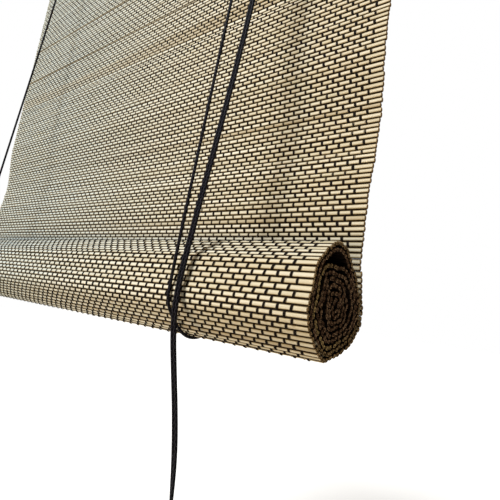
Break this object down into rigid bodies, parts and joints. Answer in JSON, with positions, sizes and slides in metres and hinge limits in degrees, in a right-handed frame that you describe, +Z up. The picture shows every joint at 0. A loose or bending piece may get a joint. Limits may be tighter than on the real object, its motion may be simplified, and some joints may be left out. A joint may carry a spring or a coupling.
{
  "type": "bamboo roll up blind",
  "caption": "Roll-up window blind of thin bamboo reeds woven with black thread, its lower part rolled up in front and held in the loops of black lift cords.",
  "frame": {"origin": "middle of the line between the two wall screw holes, on the wall face of the brackets", "axes": "+X to the right along the reeds seen from the room, +Y into the wall, +Z up"},
  "size_m": [0.6, 0.1389, 0.7747],
  "materials": {
    "reed": "split bamboo reeds woven with black cotton thread",
    "rail_wood": "planed wood, clear matt varnish",
    "lath_wood": "planed wood lath",
    "nail_steel": "zinc plated steel",
    "eye_steel": "zinc plated steel",
    "bracket_steel": "zinc plated steel",
    "screw_steel": "zinc plated steel",
    "housing_steel": "zinc plated steel",
    "pin_steel": "zinc plated steel",
    "sheave_plastic": "off-white nylon",
    "pawl_brass": "cast brass",
    "cord": "black braided polyester cord"
  },
  "bodies": {
    "blind": {"bamboo_mat": "reed", "head_rail": "rail_wood", "clamp_strip": "lath_wood", "strip_nails": "nail_steel", "screw_eye_left": "eye_steel", "screw_eye_right": "eye_steel", "wall_bracket_left": "bracket_steel", "wall_bracket_right": "bracket_steel", "bracket_screws": "screw_steel", "pulley_housing": "housing_steel", "pulley_axle": "pin_steel", "lock_housing": "housing_steel", "lock_axle": "pin_steel", "pawl_pin": "pin_steel", "housing_screws": "screw_steel", "lift_cord_left": "cord", "lift_cord_right": "cord", "pull_cord_left": "cord", "pull_cord_right": "cord", "cord_hank": "cord", "hank_tie": "cord", "end_knot": "cord"},
    "pulley_wheel": {"pulley_sheave": "sheave_plastic"},
    "lock_wheel_front": {"lock_sheave_front": "sheave_plastic"},
    "lock_wheel_rear": {"lock_sheave_rear": "sheave_plastic"},
    "pawl": {"lock_pawl": "pawl_brass"}
  },
  "joints": [
    {"name": "pulley_spin", "type": "hinge", "parent": "blind", "child": "pulley_wheel", "pos_m": [-0.17, -0.05195, -0.025], "axis": [0, 1, 0], "continuous": true},
    {"name": "lock_front_spin", "type": "hinge", "parent": "blind", "child": "lock_wheel_front", "pos_m": [0.2006, -0.05795, -0.025], "axis": [0, 1, 0], "continuous": true},
    {"name": "lock_rear_spin", "type": "hinge", "parent": "blind", "child": "lock_wheel_rear", "pos_m": [0.2006, -0.05195, -0.025], "axis": [0, 1, 0], "continuous": true},
    {"name": "pawl_swing", "type": "hinge", "parent": "blind", "child": "pawl", "pos_m": [0.2195, -0.05195, -0.04], "axis": [0, -1, 0], "range_deg": [0, 25]}
  ]
}
